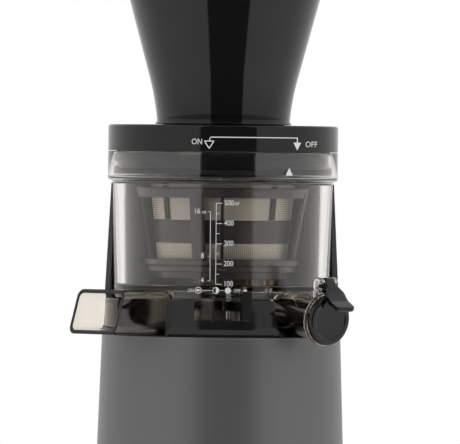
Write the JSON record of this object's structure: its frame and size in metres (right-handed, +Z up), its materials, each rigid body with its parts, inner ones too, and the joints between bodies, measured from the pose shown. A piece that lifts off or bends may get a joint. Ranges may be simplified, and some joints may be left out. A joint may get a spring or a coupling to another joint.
{
  "type": "cold press juicer",
  "caption": "Upright cold press juicer with a tall feed hopper, bayonet lid, clear drum with screw and strainer, pulp chute, capped juice spout and motor base.",
  "frame": {"origin": "on the table plane, under the axis of the drum", "axes": "+Z up along the drum's axis, front of the juicer towards -Y, juice spout towards +X"},
  "size_m": [0.1691, 0.1894, 0.4623],
  "materials": {
    "housing_grey": "satin metallic grey",
    "gloss_black": "smooth black",
    "satin_black": "satin black",
    "smoky_clear": "smoky see-through plastic",
    "brush_grey": "dark grey",
    "mesh_steel": "fine perforated",
    "silicone": "matte",
    "amber_plastic": "amber",
    "auger_black": "smooth",
    "steel": "turned",
    "cast_alloy": "cast",
    "laminations": "stacked sheet",
    "copper": "enamelled wire",
    "circuit_board": "board",
    "gear_white": "machined"
  },
  "bodies": {
    "base": {"housing_shell": "housing_grey", "column_liner": "satin_black", "collar_deck": "satin_black", "base_plate": "satin_black", "rubber_feet": "silicone", "base_screws": "steel", "motor_frame": "cast_alloy", "stator_core": "laminations", "stator_coils": "copper", "motor_bearings": "steel", "gearbox_case": "cast_alloy", "gearbox_cover": "cast_alloy", "reduction_axle": "steel", "gearbox_screws": "steel", "output_bearings": "steel", "shaft_seal": "silicone", "switch_frame": "satin_black", "cord_gland": "silicone", "control_board": "circuit_board", "lid_sensor": "satin_black"},
    "rotor": {"motor_rotor": "steel", "cooling_fan": "satin_black"},
    "reduction": {"reduction_gear": "gear_white"},
    "output": {"output_gear": "steel", "drive_shaft": "steel"},
    "rocker": {"power_rocker": "gloss_black"},
    "drum": {"juice_drum": "smoky_clear", "idler_pin": "steel", "lever_pin": "steel", "cap_pin": "steel", "drum_gasket": "silicone", "strainer_frame": "brush_grey", "strainer_mesh": "mesh_steel"},
    "cap": {"juice_cap": "gloss_black", "cap_seal": "silicone"},
    "lever": {"control_lever": "satin_black", "lever_plug": "silicone"},
    "idler": {"idler_gear": "amber_plastic"},
    "brush": {"brush_frame": "brush_grey", "brush_blades": "silicone"},
    "auger": {"auger": "auger_black", "auger_gear": "amber_plastic"},
    "lid": {"drum_lid": "gloss_black", "lid_bush": "gear_white", "lid_gasket": "silicone", "throat_seal": "silicone"},
    "hopper": {"hopper": "gloss_black"}
  },
  "joints": [
    {"name": "output_turn", "type": "hinge", "parent": "base", "child": "output", "pos_m": [0, 0, 0.19], "axis": [0, 0, 1], "continuous": true},
    {"name": "reduction_turn", "type": "hinge", "parent": "base", "child": "reduction", "pos_m": [0, 0.03375, 0.12], "axis": [0, 0, 1], "continuous": true},
    {"name": "rotor_turn", "type": "hinge", "parent": "base", "child": "rotor", "pos_m": [0, 0, 0.06], "axis": [0, 0, 1], "continuous": true},
    {"name": "power_rock", "type": "hinge", "parent": "base", "child": "rocker", "pos_m": [0, 0.09102, 0.062], "axis": [1, 0, 0], "range_deg": [-12, 12]},
    {"name": "drum_lift", "type": "slide", "parent": "base", "child": "drum", "axis": [0, 0, 1], "range_m": [0, 0.1]},
    {"name": "auger_turn", "type": "hinge", "parent": "drum", "child": "auger", "pos_m": [0, 0, 0.24], "axis": [0, 0, 1], "continuous": true},
    {"name": "idler_turn", "type": "hinge", "parent": "drum", "child": "idler", "pos_m": [0.02078, -0.012, 0.226], "axis": [0, 0, 1], "continuous": true},
    {"name": "brush_turn", "type": "hinge", "parent": "drum", "child": "brush", "pos_m": [0, 0, 0.23], "axis": [0, 0, 1], "continuous": true},
    {"name": "lever_swing", "type": "hinge", "parent": "drum", "child": "lever", "pos_m": [0.004, -0.039, 0.21], "axis": [0, 0, 1], "range_deg": [-44, 0]},
    {"name": "cap_swing", "type": "hinge", "parent": "drum", "child": "cap", "pos_m": [0.06154, -0.07079, 0.22599], "axis": [-0.7547, -0.6561, 0], "range_deg": [0, 100]},
    {"name": "lid_turn", "type": "hinge", "parent": "drum", "child": "lid", "pos_m": [0, 0, 0.31], "axis": [0, 0, 1], "range_deg": [0, 46]},
    {"name": "hopper_lift", "type": "slide", "parent": "lid", "child": "hopper", "axis": [0, 0, 1], "range_m": [0, 0.08]}
  ],
  "couplings": [
    {"joint": "reduction_turn", "follows": "output_turn", "ratio": -5},
    {"joint": "rotor_turn", "follows": "output_turn", "ratio": 25},
    {"joint": "auger_turn", "follows": "output_turn", "ratio": 1},
    {"joint": "idler_turn", "follows": "output_turn", "ratio": -1.6667},
    {"joint": "brush_turn", "follows": "output_turn", "ratio": -0.45455}
  ]
}
